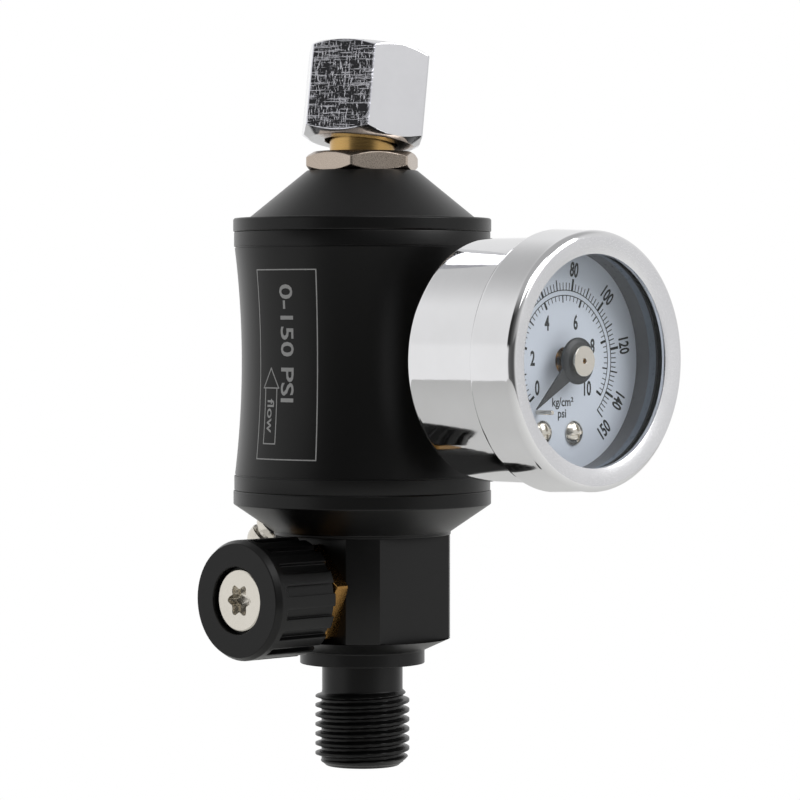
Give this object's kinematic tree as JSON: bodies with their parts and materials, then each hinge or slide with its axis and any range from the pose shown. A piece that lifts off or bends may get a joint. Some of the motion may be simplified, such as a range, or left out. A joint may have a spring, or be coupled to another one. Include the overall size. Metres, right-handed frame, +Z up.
{
  "type": "air pressure regulator",
  "caption": "In-line air pressure regulator with a black waisted body, a chromed side gauge, a fluted side knob, a male threaded inlet and a chromed swivel nut outlet.",
  "frame": {"origin": "on the main axis, at the inlet thread's first full crest, 1.5 mm above the stem's lower end", "axes": "+Z up the main axis towards the outlet nut, -Y the way the gauge looks, -X the way the knob points"},
  "size_m": [0.0422, 0.0618, 0.1009],
  "materials": {
    "black_anodised_aluminium": "satin black anodised over a fine turned surface",
    "chrome_plated_brass": "bright chrome plate",
    "satin_nickel": "satin nickel plate over brass",
    "bright_nickel": "bright nickel plate",
    "machined_brass": "machined brass, fine turning marks",
    "phosphor_bronze": "drawn bronze",
    "sintered_bronze": "porous sintered granules",
    "spring_steel": "drawn wire",
    "nitrile_rubber": "moulded, matt",
    "white_ptfe": "smooth, waxy",
    "lens_glass": "clear polished",
    "dial_enamel": "pale blue-white enamel with black printed scales",
    "spacer_grey": "smooth dark grey moulding",
    "pointer_paint": "stoved dark grey paint"
  },
  "bodies": {
    "base": {"valve_block": "black_anodised_aluminium", "lower_body_oring": "nitrile_rubber", "body_shell": "black_anodised_aluminium", "upper_body_oring": "nitrile_rubber", "top_cap": "black_anodised_aluminium", "filter_element": "sintered_bronze", "filter_cap": "machined_brass", "filter_spring": "spring_steel", "outlet_adapter": "satin_nickel", "adapter_oring": "nitrile_rubber", "outlet_tailpiece": "machined_brass", "valve_seat": "white_ptfe", "bonnet": "machined_brass", "bleed_screw": "bright_nickel", "bleed_seal": "nitrile_rubber", "gauge_socket": "machined_brass", "gauge_seal": "white_ptfe", "gauge_case": "chrome_plated_brass", "gauge_bezel": "chrome_plated_brass", "gauge_lens": "lens_glass", "lens_gasket": "nitrile_rubber", "dial_spacer": "spacer_grey", "gauge_dial": "dial_enamel", "dial_screws": "bright_nickel", "stop_pin": "bright_nickel", "bourdon_tube": "phosphor_bronze", "bourdon_tip": "machined_brass", "rear_plate": "machined_brass", "front_plate": "machined_brass", "plate_pillars": "machined_brass", "plate_screws": "bright_nickel", "hairspring": "phosphor_bronze"},
    "spindle_seal": {"spindle_oring": "nitrile_rubber"},
    "knob": {"knob": "black_anodised_aluminium", "knob_screw": "bright_nickel", "spindle": "machined_brass"},
    "swivel_nut": {"swivel_nut": "chrome_plated_brass"},
    "pointer": {"pointer": "pointer_paint", "pointer_hub": "bright_nickel", "pinion_arbor": "machined_brass"},
    "sector": {"sector_gear": "machined_brass", "sector_arbor": "machined_brass"},
    "link": {"link_bar": "machined_brass"}
  },
  "joints": [
    {"name": "spindle_lift", "type": "slide", "parent": "base", "child": "spindle_seal", "axis": [-1, 0, 0], "range_m": [0, 0.003]},
    {"name": "knob_turn", "type": "hinge", "parent": "spindle_seal", "child": "knob", "pos_m": [0, 0, 0.0228], "axis": [-1, 0, 0], "range_deg": [0, 1080]},
    {"name": "nut_spin", "type": "hinge", "parent": "base", "child": "swivel_nut", "pos_m": [-0.0003, -0.00005, 0.0852], "axis": [0.1509, 0.0252, 0.9882], "continuous": true},
    {"name": "pointer_turn", "type": "hinge", "parent": "base", "child": "pointer", "pos_m": [0, 0, 0.0553], "axis": [0, 1, 0], "range_deg": [0, 262.5], "stiffness_Nm_per_rad": 0.0002, "springref_deg": -34.38},
    {"name": "sector_turn", "type": "hinge", "parent": "base", "child": "sector", "pos_m": [0, 0, 0.04427], "axis": [0, 1, 0], "range_deg": [-26.25, 0]},
    {"name": "link_turn", "type": "hinge", "parent": "sector", "child": "link", "pos_m": [-0.0035, 0, 0.0434], "axis": [0, 1, 0], "range_deg": [0, 26.25]}
  ],
  "couplings": [
    {"joint": "knob_turn", "follows": "spindle_lift", "rad_per_m": 6283.2},
    {"joint": "sector_turn", "follows": "pointer_turn", "ratio": -0.1},
    {"joint": "link_turn", "follows": "pointer_turn", "ratio": 0.1}
  ]
}
